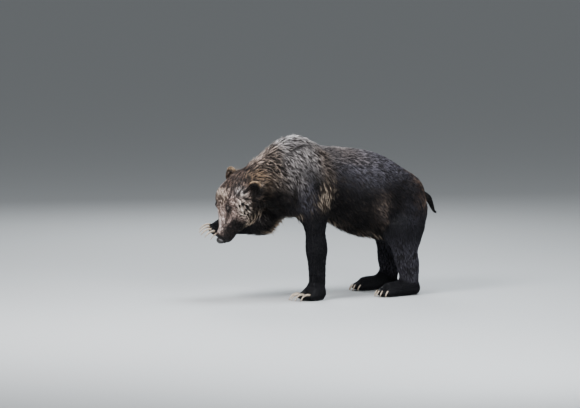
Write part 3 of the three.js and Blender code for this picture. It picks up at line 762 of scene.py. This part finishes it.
# Colour of the root, of the tip and of the odd locks, and the share of odd locks.
PLAIN_COAT = ((0.0025, 0.0022, 0.0024), (0.0075, 0.0066, 0.0072), (0.03, 0.024, 0.021), 0.16)
COATS = {
    # painted sheen: a pale bluish reflection of the sky on the wet coat
    "painted_sheen": ((0.006, 0.0055, 0.007), (0.15, 0.142, 0.172), (0.05, 0.045, 0.05), 0.3),
    # arm: painted sheen on the upper arm
    "arm": ((0.005, 0.0045, 0.006), (0.12, 0.115, 0.14), (0.02, 0.018, 0.02), 0.35),
    # painted highlight on the front of the thigh
    "thigh_highlight": ((0.005, 0.004, 0.0036), (0.1, 0.08, 0.074), (0.28, 0.21, 0.17), 0.16),
    "grizzle": ((0.006, 0.005, 0.005), (0.47, 0.43, 0.415), (0.02, 0.016, 0.015), 0.35),
    "tawny": ((0.006, 0.0045, 0.004), (0.25, 0.195, 0.16), (0.03, 0.022, 0.018), 0.36),
    "neck": ((0.004, 0.003, 0.0028), (0.31, 0.24, 0.19), (0.01, 0.008, 0.007), 0.56),
    "neck_ridge": ((0.02, 0.015, 0.012), (0.42, 0.325, 0.27), (0.05, 0.037, 0.03), 0.35),
    # ridge: silvery hair along the top of the hump, painted much paler as the highlight where it faces the
    # light
    "ridge": ((0.02, 0.018, 0.018), (0.75, 0.72, 0.7), (0.05, 0.04, 0.036), 0.3),
    # painted shadow beneath the ridge's curls
    "shaded_parting": ((0.002, 0.002, 0.002), (0.005, 0.0045, 0.0045), (0.05, 0.04, 0.036), 0.1),
    "rump": ((0.005, 0.004, 0.004), (0.032, 0.024, 0.021), (0.19, 0.125, 0.092), 0.36),
    "shank": ((0.0025, 0.0023, 0.0028), (0.0085, 0.0085, 0.011), (0.02, 0.019, 0.021), 0.1),
    # hind: painted sheen, bluish grey, on the lower hind leg and part of the haunch
    "hind": ((0.003, 0.0027, 0.0033), (0.1, 0.095, 0.117), (0.035, 0.032, 0.037), 0.24),
    "elbow": ((0.005, 0.004, 0.0032), (0.07, 0.052, 0.04), (0.75, 0.6, 0.46), 0.26),
    # painted shade in the crease before the shoulder and in the armpit
    "shaded_furrow": ((0.002, 0.0018, 0.0018), (0.006, 0.005, 0.005), (0.03, 0.024, 0.02), 0.1),
    "fringe": ((0.005, 0.004, 0.004), (0.02, 0.016, 0.014), (0.5, 0.39, 0.29), 0.25),
    "face": ((0.05, 0.034, 0.029), (0.46, 0.35, 0.305), (0.11, 0.078, 0.066), 0.34),
    "crown": ((0.005, 0.0035, 0.003), (0.1, 0.066, 0.05), (0.009, 0.0065, 0.006), 0.5),
    "temple": ((0.014, 0.011, 0.01), (0.47, 0.425, 0.405), (0.016, 0.013, 0.012), 0.48),
    # bridge: pale fur, painted lighter on the lit far side
    "bridge": ((0.06, 0.042, 0.035), (0.5, 0.385, 0.33), (0.12, 0.086, 0.07), 0.34),
    "brow": ((0.05, 0.036, 0.028), (0.58, 0.465, 0.375), (0.1, 0.073, 0.057), 0.34),
    # muzzle top: pale fur, painted brighter as a highlight
    "lit_muzzle_top": ((0.09, 0.066, 0.058), (0.9, 0.72, 0.64), (0.12, 0.086, 0.074), 0.3),
    "cheek": ((0.003, 0.0025, 0.0022), (0.95, 0.765, 0.64), (0.004, 0.0035, 0.003), 0.33),
    "jowl": ((0.003, 0.0025, 0.0022), (0.6, 0.45, 0.34), (0.004, 0.0035, 0.003), 0.4),
    # nape: painted shade under the ear, behind the cheek and on the side of the neck that faces down
    "nape": ((0.0025, 0.0022, 0.0022), (0.01, 0.008, 0.0075), (0.06, 0.042, 0.03), 0.14),
    "jaw_edge": ((0.003, 0.0025, 0.0022), (0.6, 0.46, 0.34), (0.005, 0.004, 0.0035), 0.42),
    "gold": ((0.006, 0.0045, 0.0035), (0.3, 0.2, 0.125), (0.01, 0.0075, 0.006), 0.45),
    # backlit_arm_fringe: tawny hair, painted bright as back-lit
    "backlit_arm_fringe": ((0.02, 0.013, 0.009), (0.8, 0.57, 0.39), (0.1, 0.066, 0.045), 0.36),
    # band: partly dark fur, partly painted shade of the bridge's side and of the eye's socket
    "band_of_fur_and_shade": ((0.014, 0.01, 0.009), (0.06, 0.044, 0.037), (0.02, 0.014, 0.012), 0.3),
    "lips": ((0.0025, 0.0021, 0.0021), (0.0065, 0.0052, 0.005), (0.028, 0.02, 0.017), 0.18),
    "ear_rim": ((0.015, 0.01, 0.007), (0.52, 0.36, 0.225), (0.05, 0.033, 0.022), 0.4),
    # ear_inside_hair_and_shade: dark hair of the ear's hollow with painted shade in the recess, less on the
    # far ear
    "ear_inside_hair_and_shade": ((0.002, 0.0018, 0.0018), (0.003, 0.0026, 0.0026), (0.02, 0.015, 0.012), 0.08),
}


def markings_and_painted_light(p, mask):
    """Colour at the root and at the tip of the hair, the colour of its odd locks, and how many are odd."""
    grain = Wobble(0.06, 11)(p)[:, None]
    broad = Wobble(0.4, 12)(p)[:, None]
    root, tip, odd, share = PLAIN_COAT
    look = np.tile([*root, *tip, *odd, share], (len(p), 1))
    for name, (root, tip, odd, share) in COATS.items():
        w = np.clip(mask[name], 0, 1)[:, None]
        look = look * (1 - w) + np.array([*root, *tip, *odd, share]) * w
    tone = 1 + 0.13 * grain + 0.1 * broad
    return look[:, :3] * tone, look[:, 3:6] * tone, look[:, 6:9] * tone, look[:, 9]


# Where the painted sheen lies: a patch on the loin, and every face of the body that turns upwards.
painted_sheen_on_loin = (1 - mane) * body * bell(fx, -0.04, 0.2) * bell(z, 0.81, 0.1)
on_back = 0.5 * bell(fx, 0.08, 0.15) * ramp(upward, 0.4, 0.8)
behind_hump = 0.5 * bell(fx, 0.33, 0.08) * body * ramp(z, 0.72, 0.85)
behind_shoulder = 0.8 * bell(fx, 0.27, 0.05) * ramp(z, 0.72, 0.8) * out_wide
belly_edge = body * ramp(-upward, 0.78, 0.97) * (bell(fx, -0.1, 0.08) + 0.4 * bell(fx, 0.05, 0.2))
# Painted shade behind the cheek and on the side of the neck that faces down.
shade_behind_cheek = (1 - ears) * head_hair * back_of_cheek * (1 - crown)
shade_on_neck_side = neck * ramp(fx, 0.56, 0.66) * (1 - ramp(upward, 0.1, 0.5))
mask = {
    # painted sheen, lighter on the loin and on the faces that turn upwards
    "painted_sheen": painted_sheen_on_loin + 0.36 * body * ramp(upward, 0.3, 0.9),
    "grizzle": mane * ramp(upward, -0.15, 0.4) + 0.75 * hump + behind_hump,
    "arm": upper_arm_sheen,
    "thigh_highlight": thigh_highlight,
    "tawny": body * (behind_shoulder + on_back),
    # painted sheen on the hind legs
    "hind": lower_hind_sheen + 0.4 * haunch_sheen,
    "jaw_edge": jaw_edge * 1.2,
    "neck": mane * ramp(fx, 0.5, 0.58) * ramp(upward, -0.25, 0.3),
    "neck_ridge": ridge * ramp(fx, 0.5, 0.58),
    # painted highlight along the top of the hump
    "ridge": ridge * bell(fx, 0.39, 0.13) + 0.15 * ridge * (1 - ramp(fx, 0.5, 0.56)),
    "shaded_parting": shaded_parting,
    "rump": rump,
    "shank": shank + paws,
    "elbow": elbow * 1.3,
    "shaded_furrow": shaded_furrow + shaded_armpit,
    "fringe": chest * (1 - ramp(z, 0.52, 0.58)) + far_chest + belly_edge + belly_tufts,
    "face": head_hair,
    "crown": crown + poll * 0.7,
    "temple": temple,
    "bridge": bridge * ramp(ahead, 0.108, 0.15),
    "brow": brow,
    "lit_muzzle_top": lit_muzzle_top,
    # the pale cheek fades towards the ear: painted shade of the ear
    "cheek": cheek * 1.3 * (1 - 0.4 * ramp(0.165 - qx, 0.0, 0.04)),
    "jowl": jowl,
    # painted shade
    "nape": shade_under_ear + shade_behind_cheek + shade_on_neck_side,
    "gold": gold,
    "backlit_arm_fringe": backlit_arm_fringe * 1.2,
    # with painted shade in the eye's socket
    "band_of_fur_and_shade": band_of_fur_and_shade + head_hair * bell(eye_gap, 0.0, 0.022),
    "lips": lips,
    "ear_rim": ear_rim + 0.2 * ears * (qy < 0),
    # painted shade in the ear's hollow, deepest on the near ear
    "ear_inside_hair_and_shade": ear_inside_hair_and_shade * np.where(qy < 0, 0.3, 1),
}
root_colour, tip_colour, odd_colour, odd_share = markings_and_painted_light(co, mask)
skin_colour = root_colour * 0.8
bare_mix = np.clip(bare, 0, 1)[:, None]
skin_colour = skin_colour * (1 - bare_mix) + np.array([0.007, 0.006, 0.006]) * bare_mix

# ---------------------------------------------------------------- coat

# Everything a tuft needs, per point of the skin.
FIELDS = np.column_stack(
    [normal, lie, length, breadth, stand, hold, wave]
    + [root_colour, tip_colour, odd_colour, under, odd_share, vary]
)
NORMAL, LIE, ROOT, TIP, ODD = slice(0, 3), slice(3, 6), slice(11, 14), slice(14, 17), slice(17, 20)
LENGTH, BREADTH, STAND, HOLD, WAVE, UNDER, ODDS, VARY = 6, 7, 8, 9, 10, 20, 21, 22
ROOT_DEPTH = 0.0015  # how far under the skin a tuft begins
FLOOR_GAP = 0.0006  # no hair comes nearer to the floor
STRAY_SHARE = 0.07  # tufts that keep out of the locks
PATCH = 0.003  # size of a tuft's patch on the map
BRIGHTEST = 0.9

tri = arrays(skin_mesh)[1]
loops = np.empty(len(tri) * 3, np.int32)
skin_mesh.loop_triangles.foreach_get("loops", loops)
loops = loops.reshape(-1, 3)
uv = np.empty(len(skin_mesh.loops) * 2, np.float32)
skin_mesh.uv_layers["OFBake"].data.foreach_get("uv", uv)
uv = uv.reshape(-1, 2)
corner_a, corner_b, corner_c = (co[tri[:, i]] for i in range(3))
area = np.linalg.norm(np.cross(corner_b - corner_a, corner_c - corner_a), axis=1) / 2
skin_tree = tree_of(co)


def scatter(count, weight, r):
    """count places on the skin, one from each equal share of a walk over its faces."""
    share = np.cumsum(area * weight)
    pick = np.searchsorted(share, (np.arange(count) + r.random(count)) / count * share[-1])
    pick = np.minimum(pick, len(tri) - 1)
    u, v = r.random(count), r.random(count)
    over = u + v > 1
    u[over], v[over] = 1 - u[over], 1 - v[over]
    bary = np.stack([1 - u - v, u, v], 1)
    at = (co[tri[pick]] * bary[:, :, None]).sum(1)
    fields = (FIELDS[tri[pick]] * bary[:, :, None]).sum(1)
    place = (uv[loops[pick]] * bary[:, :, None]).sum(1)
    return at, fields, place


ripple = Wobble(0.05, 21)
broad_ripple = Wobble(0.09, 22)


def paths(at, f, r, unruly, steps):
    """The middle line of each tuft, from its root to its tip."""
    n = unit(f[:, NORMAL])
    lie_here = unit(f[:, LIE])
    count = len(at)
    size = f[:, LENGTH] * r.uniform(1 - 0.28 * unruly, 1 + 0.18 * unruly, count)
    turn = r.normal(0, 0.16 * unruly, count)[:, None]
    way = unit(lie_here + np.cross(n, lie_here) * turn)
    rise = f[:, STAND] * r.uniform(0.5, 1.45, count)
    guess = at + way * size[:, None] * 0.9
    under_tip = nearest(guess, skin_tree)
    over = ((guess - co[under_tip]) * normal[under_tip]).sum(1)
    way_end = unit(lie[under_tip] + way * 0.4)
    lift = size * rise * 0.55  # height of the tip over the skin
    dip = lift - over
    sag = (f[:, UNDER] * size * 0.32)[:, None] * down
    side = np.cross(n, way)
    phase = ripple(at) * 4 + broad_ripple(at) * 5
    swing = f[:, WAVE] * r.uniform(0.7, 1.3, count)
    out = []
    for s in np.linspace(0, 1, steps + 1):
        p = at + size[:, None] * (way * (s - s * s / 2) + way_end * (s * s / 2))
        p = p + n * (dip * s * s + size * rise * 0.5 * s * (1 - s))[:, None] + sag * s * s
        p = p + side * (swing * np.sin(phase + s * 7.5) * s)[:, None]
        p = p + n * (0.5 * swing * np.cos(phase + s * 6) * s)[:, None]
        out.append(p)
    strands = np.stack(out, 1)
    strands[:, 0] -= n * ROOT_DEPTH
    return strands, n


def tufts(count, steps, crowding, seed):
    """Middle lines and looks of one kind of tuft, drawn together into wet locks."""
    r = np.random.default_rng(seed)
    guide_weight = (crowding > 0) / np.maximum(lock[tri].mean(1), 0.004) ** 2
    guide_count = int((area * guide_weight).sum())
    guide_at, guide_f, _ = scatter(guide_count, guide_weight, r)
    guides, _ = paths(guide_at, guide_f, r, 1.2, steps)
    at, f, place = scatter(count, crowding, r)
    strands, n = paths(at, f, r, 0.7, steps)
    mine = nearest(at, tree_of(guide_at))
    stray = r.random(count) < STRAY_SHARE
    grip = np.clip(f[:, HOLD] * r.uniform(0.8, 1.1, count), 0, 0.96) * (1 - 0.8 * stray)
    quick_hold = 1.1 - 0.6 * ramp(f[:, HOLD], 0.75, 0.92)  # tight locks gather soon after the root
    for k in range(1, steps + 1):
        strands[:, k] += (guides[mine, k] - strands[:, k]) * (grip * (k / steps) ** quick_hold)[:, None]
    by_lock = np.random.default_rng(seed + 1)
    tone = f[:, VARY] * (by_lock.normal(0, 1, guide_count)[mine] + r.normal(0, 0.8, count))
    odd = by_lock.random(guide_count)[mine] < f[:, ODDS]
    odd |= r.random(count) < 0.35 * f[:, ODDS]
    f[odd, TIP] = f[odd, ODD]
    f[stray, BREADTH] *= 0.6
    return strands, n, f, place, np.clip(np.exp(tone), 0.3, 2.6)[:, None]


# Breadth along a tuft, from root to tip, for each count of steps.
PROFILES = {2: (0.8, 0.85, 0.0), 3: (0.65, 1.0, 0.7, 0.0), 4: (0.55, 1.0, 0.92, 0.6, 0.0)}


def triangles_in(rings):
    return 6 * rings - 2


def build(name, strands, n, f, place, tone):
    """One mesh of closed three-sided locks that taper to a point."""
    count = len(strands)
    rings = strands.shape[1] - 1
    per = rings * 3 + 1
    tangent = unit(np.gradient(strands, axis=1))
    side = unit(np.cross(n[:, None, :], tangent))
    top = unit(np.cross(tangent, side))
    half = f[:, BREADTH][:, None] / 2 * np.array(PROFILES[rings])[None, :rings]
    thick = half * 0.75
    points = np.empty((count, per, 3))
    for k in range(rings):
        centre = strands[:, k]
        across = side[:, k] * half[:, k, None]
        points[:, k * 3 + 0] = centre - across
        points[:, k * 3 + 1] = centre + top[:, k] * thick[:, k, None]
        points[:, k * 3 + 2] = centre + across
    points[:, per - 1] = strands[:, -1]
    points[:, :, 2] = np.maximum(points[:, :, 2], FLOOR_GAP)
    faces = [(0, 2, 1)]
    uvs = [((0, -0.1), (0.67, -0.1), (0.33, -0.2))]
    for k in range(rings):
        for j in range(3):
            a, b = k * 3 + j, k * 3 + (j + 1) % 3
            u0, u1 = j / 3, (j + 1) / 3
            v0, v1 = k / rings, (k + 1) / rings
            if k < rings - 1:
                c, d = a + 3, b + 3
                faces += [(a, b, d), (a, d, c)]
                uvs += [((u0, v0), (u1, v0), (u1, v1)), ((u0, v0), (u1, v1), (u0, v1))]
            else:
                faces += [(a, b, per - 1)]
                uvs += [((u0, v0), (u1, v0), ((u0 + u1) / 2, 1))]
    faces = np.array(faces)
    all_faces = (faces[None] + (np.arange(count) * per)[:, None, None]).reshape(-1, 3)
    patch = (np.array(uvs) - 0.45) * PATCH
    all_uv = (place[:, None, None, :] + patch[None]).reshape(-1, 2)
    me = bpy.data.meshes.new(name)
    me.vertices.add(count * per)
    me.vertices.foreach_set("co", points.astype(np.float32).ravel())
    me.loops.add(len(all_faces) * 3)
    me.loops.foreach_set("vertex_index", all_faces.astype(np.int32).ravel())
    me.polygons.add(len(all_faces))
    me.polygons.foreach_set("loop_start", np.arange(0, len(all_faces) * 3, 3, dtype=np.int32))
    me.polygons.foreach_set("loop_total", np.full(len(all_faces), 3, np.int32))
    shade_smooth(me)
    me.update(calc_edges=True)
    layer = me.uv_layers.new(name="OFBake")
    layer.data.foreach_set("uv", all_uv.astype(np.float32).ravel())
    s = np.concatenate([np.repeat(np.arange(rings), 3), [rings]]) / rings
    mix = (s**1.5)[None, :, None]
    colour = (f[:, None, ROOT] * (1 - mix) + f[:, None, TIP] * mix) * tone[:, None, :]
    paint(me, "hair", np.minimum(colour, BRIGHTEST).reshape(-1, 3))
    me.validate()
    return show(name, me)


KINDS = {2: (0.0, 0.02), 3: (0.02, 0.045), 4: (0.045, 1.0)}  # steps: the lengths of hair built with them
BUDGET = 1430000  # triangles in the whole coat
PIECE = 190000  # triangles in one piece of it, at most
SEED = 31
crowding = {}
cost = 0.0
for steps, (short, long) in KINDS.items():
    crowding[steps] = (crowd * (length >= short) * (length < long))[tri].mean(1)
    cost += (area * crowding[steps]).sum() * triangles_in(steps)
coats = []
for steps, weight in crowding.items():
    count = int((area * weight).sum() * BUDGET / cost)
    made = tufts(count, steps, weight, SEED + steps)
    order = np.argsort(made[0][:, 0, 0], kind="stable")
    for members in np.array_split(order, int(np.ceil(count * triangles_in(steps) / PIECE))):
        ob = build(f"coat_{len(coats) + 1}", *[values[members] for values in made])
        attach(ob, "root")
        coats.append(ob)

# ---------------------------------------------------------------- eyes, nose and claws


ROUNDING = 2
CLAW_SWELL = 0.0009
NOSE_SWELL = 0.0016


def copy_of(name, node, swell):
    """A rounded copy of a solid, grown a little, because rounding shrinks it."""
    co, tri = arrays(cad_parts[node].data)
    _, first, back = np.unique(np.round(co, 6), axis=0, return_index=True, return_inverse=True)
    ob = show(name, mesh_from(name, co[first], back.reshape(-1)[tri]))
    mod = ob.modifiers.new("round", "SUBSURF")
    mod.levels = mod.render_levels = ROUNDING
    me = with_modifiers(ob)
    ob.modifiers.clear()
    ob.data = me
    co, tri = arrays(me)
    move_to(me, co + normals_of(co, tri) * swell)
    shade_smooth(me)
    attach(ob, "root")
    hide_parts(node)
    return ob


claws = []
for foot in LEGS:
    for i in range(1, 6):
        ob = copy_of(f"horn_{foot}_{i}", f"claw_{foot}_{i}", CLAW_SWELL)
        claws.append(ob)

nose = copy_of("nose_pad", "nose", NOSE_SWELL)
pad = arrays(nose.data)[0]
on_pad = to_head(pad)
half = (on_pad.max(0) - on_pad.min(0)) / 2
on_pad = (on_pad - on_pad.min(0)) / half - 1
NOSTRIL_DEPTH = 0.009
for side in (1, -1):  # pits that open forward and lean outwards at the top
    across = on_pad[:, 1] * side - 0.4 - 0.2 * on_pad[:, 2]
    pit = bell(np.hypot(across / 0.2, (on_pad[:, 2] + 0.02) / 0.34), 0.0, 1.0) * ramp(on_pad[:, 0], 0.1, 0.5)
    pad -= NOSTRIL_DEPTH * pit[:, None] * head_way([1, 0, 0])
move_to(nose.data, pad)

PUPIL_REACH, IRIS_REACH = 0.26, 0.8  # in radians from the middle of the pupil
PUPIL_COLOUR, IRIS_COLOUR, RIM_COLOUR = (0.002, 0.002, 0.002), (0.035, 0.016, 0.006), (0.02, 0.014, 0.012)
eyeballs = []
for side, node in EYE_NODES.items():
    p, t = ball((0, 0, 0), (EYE_RADIUS,) * 3, np.eye(3), 24, 36)
    me = mesh_from(f"eyeball_{node[4:]}", p, t)
    ob = show(f"eyeball_{node[4:]}", me)
    # The ball's pole looks out of the head.
    move_to(me, p @ np.stack(eye_axes(side), 1).T + eye_place(side))
    shade_smooth(me)
    from_pole = np.arccos(np.clip(p[:, 2] / EYE_RADIUS, -1, 1))[:, None]
    colour = np.where(from_pole < IRIS_REACH, IRIS_COLOUR, RIM_COLOUR)
    paint(me, "part", np.where(from_pole < PUPIL_REACH, PUPIL_COLOUR, colour))
    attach(ob, "root")
    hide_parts(node)
    eyeballs.append(ob)

# ---------------------------------------------------------------- materials


def material(name):
    mat = bpy.data.materials.new(name)
    mat.use_nodes = True
    tree = mat.node_tree
    return mat, tree, tree.nodes["Principled BSDF"]


def noise(tree, scale, detail=3, stretch=(1, 1, 1)):
    where = tree.nodes.new("ShaderNodeTexCoord")
    mapping = tree.nodes.new("ShaderNodeMapping")
    mapping.inputs["Scale"].default_value = stretch
    tree.links.new(where.outputs["Object"], mapping.inputs["Vector"])
    node = tree.nodes.new("ShaderNodeTexNoise")
    node.inputs["Scale"].default_value = scale
    node.inputs["Detail"].default_value = detail
    tree.links.new(mapping.outputs["Vector"], node.inputs["Vector"])
    return node.outputs["Fac"]


def ranged(tree, value, low, high):
    node = tree.nodes.new("ShaderNodeMapRange")
    node.inputs["To Min"].default_value = low
    node.inputs["To Max"].default_value = high
    tree.links.new(value, node.inputs["Value"])
    return node.outputs["Result"]


def tinted(tree, colour, factor):
    node = tree.nodes.new("ShaderNodeVectorMath")
    node.operation = "SCALE"
    tree.links.new(colour, node.inputs[0])
    tree.links.new(factor, node.inputs["Scale"])
    return node.outputs["Vector"]


def painted(tree, name):
    node = tree.nodes.new("ShaderNodeVertexColor")
    node.layer_name = name
    return node.outputs["Color"]


def bumped(tree, height, strength, distance):
    node = tree.nodes.new("ShaderNodeBump")
    node.inputs["Strength"].default_value = strength
    node.inputs["Distance"].default_value = distance
    tree.links.new(height, node.inputs["Height"])
    return node.outputs["Normal"]


def two_toned(tree, factor, dark, light):
    node = tree.nodes.new("ShaderNodeValToRGB")
    node.color_ramp.elements[0].color = dark
    node.color_ramp.elements[1].color = light
    tree.links.new(factor, node.inputs["Fac"])
    return node.outputs["Color"]


def dress(objects, mat):
    for ob in objects:
        ob.data.materials.append(mat)


hair, t, p = material("wet_coat")
t.links.new(tinted(t, painted(t, "hair"), ranged(t, noise(t, 34, 4), 0.75, 1.25)), p.inputs["Base Color"])
t.links.new(ranged(t, noise(t, 60, 2), 0.3, 0.5), p.inputs["Roughness"])
p.inputs["Specular IOR Level"].default_value = 0.1
dress(coats, hair)

hide, t, p = material("hide")
t.links.new(tinted(t, painted(t, "hair"), ranged(t, noise(t, 90, 4), 0.7, 1.3)), p.inputs["Base Color"])
t.links.new(ranged(t, noise(t, 60, 2), 0.5, 0.75), p.inputs["Roughness"])
p.inputs["Specular IOR Level"].default_value = 0.15
t.links.new(bumped(t, noise(t, 420, 3, (1, 1, 0.35)), 0.6, 0.002), p.inputs["Normal"])
paint(skin_mesh, "hair", skin_colour)
dress([skin], hide)

horn, t, p = material("claw_horn")
horn_colour = two_toned(t, noise(t, 60, 3, (1, 3, 3)), (0.14, 0.1, 0.068, 1), (0.46, 0.38, 0.29, 1))
t.links.new(horn_colour, p.inputs["Base Color"])
t.links.new(ranged(t, noise(t, 130, 2), 0.28, 0.45), p.inputs["Roughness"])
t.links.new(bumped(t, noise(t, 500, 2, (1, 4, 4)), 0.3, 0.0006), p.inputs["Normal"])
dress(claws, horn)

leather, t, p = material("nose_leather")
nose_colour = two_toned(t, noise(t, 120, 3), (0.004, 0.0036, 0.0036, 1), (0.016, 0.014, 0.0135, 1))
t.links.new(nose_colour, p.inputs["Base Color"])
t.links.new(ranged(t, noise(t, 200, 2), 0.36, 0.55), p.inputs["Roughness"])
cells = t.nodes.new("ShaderNodeTexVoronoi")
cells.inputs["Scale"].default_value = 520
where = t.nodes.new("ShaderNodeTexCoord")
t.links.new(where.outputs["Object"], cells.inputs["Vector"])
t.links.new(bumped(t, cells.outputs["Distance"], 0.5, 0.0008), p.inputs["Normal"])
dress([nose], leather)

eye_stuff, t, p = material("eye")
t.links.new(tinted(t, painted(t, "part"), ranged(t, noise(t, 900, 3), 0.7, 1.4)), p.inputs["Base Color"])
p.inputs["Roughness"].default_value = 0.06
p.inputs["Coat Weight"].default_value = 1.0
p.inputs["Coat Roughness"].default_value = 0.02
dress(eyeballs, eye_stuff)

# ---------------------------------------------------------------- stage

FLOOR_RADIUS = 160
FLOOR_SIDES = 96
angles = np.linspace(0, 2 * np.pi, FLOOR_SIDES, endpoint=False)
rim = np.column_stack([np.cos(angles), np.sin(angles), np.zeros(FLOOR_SIDES)]) * FLOOR_RADIUS
floor = show("floor", mesh_from("floor", rim, [list(range(FLOOR_SIDES))]))
paper, t, p = material("floor")
p.inputs["Base Color"].default_value = (0.34, 0.35, 0.35, 1)
p.inputs["Roughness"].default_value = 0.9
floor.data.materials.append(paper)

world = bpy.data.worlds.new("studio")
world.use_nodes = True
world.node_tree.nodes["Background"].inputs["Color"].default_value = (0.8, 0.86, 0.95, 1)
world.node_tree.nodes["Background"].inputs["Strength"].default_value = 0.12
bpy.context.scene.world = world


def lamp(name, at, aim, size, power, colour):
    data = bpy.data.lights.new(name, "AREA")
    data.shape, data.size, data.energy, data.color = "DISK", size, power, colour
    ob = bpy.data.objects.new(name, data)
    ob.location = at
    ob.rotation_euler = (Vector(aim) - Vector(at)).to_track_quat("-Z", "Y").to_euler()
    bpy.context.scene.collection.objects.link(ob)


lamp("key", (3.2, 1.2, 3.4), (0.3, 0, 0.5), 1.8, 340, (0.99, 0.98, 1))
lamp("sky", (-0.6, 0.6, 4.6), (-0.1, 0, 0.5), 2.4, 300, (0.88, 0.94, 1))
lamp("far", (-1.6, -4.6, 3.6), (0, 0, 0.6), 2.4, 220, (0.92, 0.96, 1))
lamp("front", (1.0, 4.6, 2.6), (0.1, 0, 0.5), 2.2, 330, (0.93, 0.96, 1))

even = bpy.data.lights.new("even", "SUN")  # keeps the floor pale far from the lamps
even.energy, even.angle, even.color = 0.9, np.radians(80), (0.93, 0.97, 1)
bpy.context.scene.collection.objects.link(bpy.data.objects.new("even", even))

TARGET = Vector((0.2535, 0, 0.5775))  # in the middle of the picture
TOWARDS = Vector(unit([0.498, 0.863, 0.087]))  # from there to the camera
DISTANCE = 25
PICTURE_WIDTH = 3.515  # across the picture at the target
SENSOR_WIDTH = 36  # millimetres
cam_data = bpy.data.cameras.new("camera")
cam_data.sensor_width = SENSOR_WIDTH
cam_data.lens = SENSOR_WIDTH * DISTANCE / PICTURE_WIDTH
cam_data.clip_end = 200
camera = bpy.data.objects.new("camera", cam_data)
camera.location = TARGET + TOWARDS * DISTANCE
camera.rotation_euler = (-TOWARDS).to_track_quat("-Z", "Y").to_euler()
bpy.context.scene.collection.objects.link(camera)
bpy.context.scene.camera = camera
